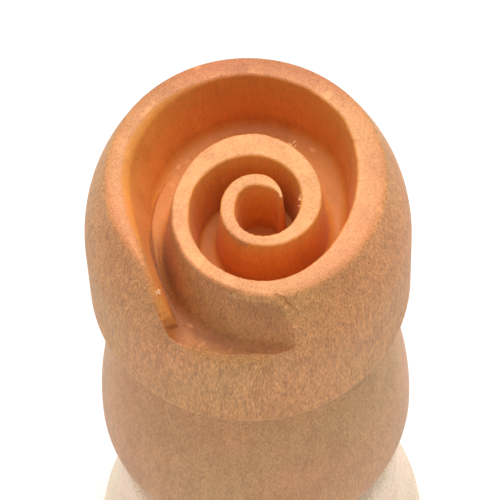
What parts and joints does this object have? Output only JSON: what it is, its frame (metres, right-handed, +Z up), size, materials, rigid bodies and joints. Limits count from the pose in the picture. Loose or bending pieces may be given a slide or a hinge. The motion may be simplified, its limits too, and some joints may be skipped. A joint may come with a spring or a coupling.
{
  "type": "butter stamp",
  "caption": "Turned hardwood butter stamp standing on its flared palm end, with a deep spiral carved into the top of its round head.",
  "frame": {"origin": "centre of the flat foot, on the turning axis", "axes": "+Z up along the turning axis towards the carved face; -Y is the side where the groove leaves the head"},
  "size_m": [0.036, 0.036, 0.08],
  "materials": {
    "head_wood": "fine sanded end grain on top, vertical grain on the side, unvarnished",
    "grip_wood": "smooth turned, unvarnished",
    "base_wood": "smooth turned, unvarnished",
    "dowel_wood": "raw fluted dowel"
  },
  "bodies": {
    "root": {"print_head": "head_wood", "grip": "grip_wood", "palm_base": "base_wood", "head_dowel": "dowel_wood", "base_dowel": "dowel_wood"}
  },
  "joints": []
}
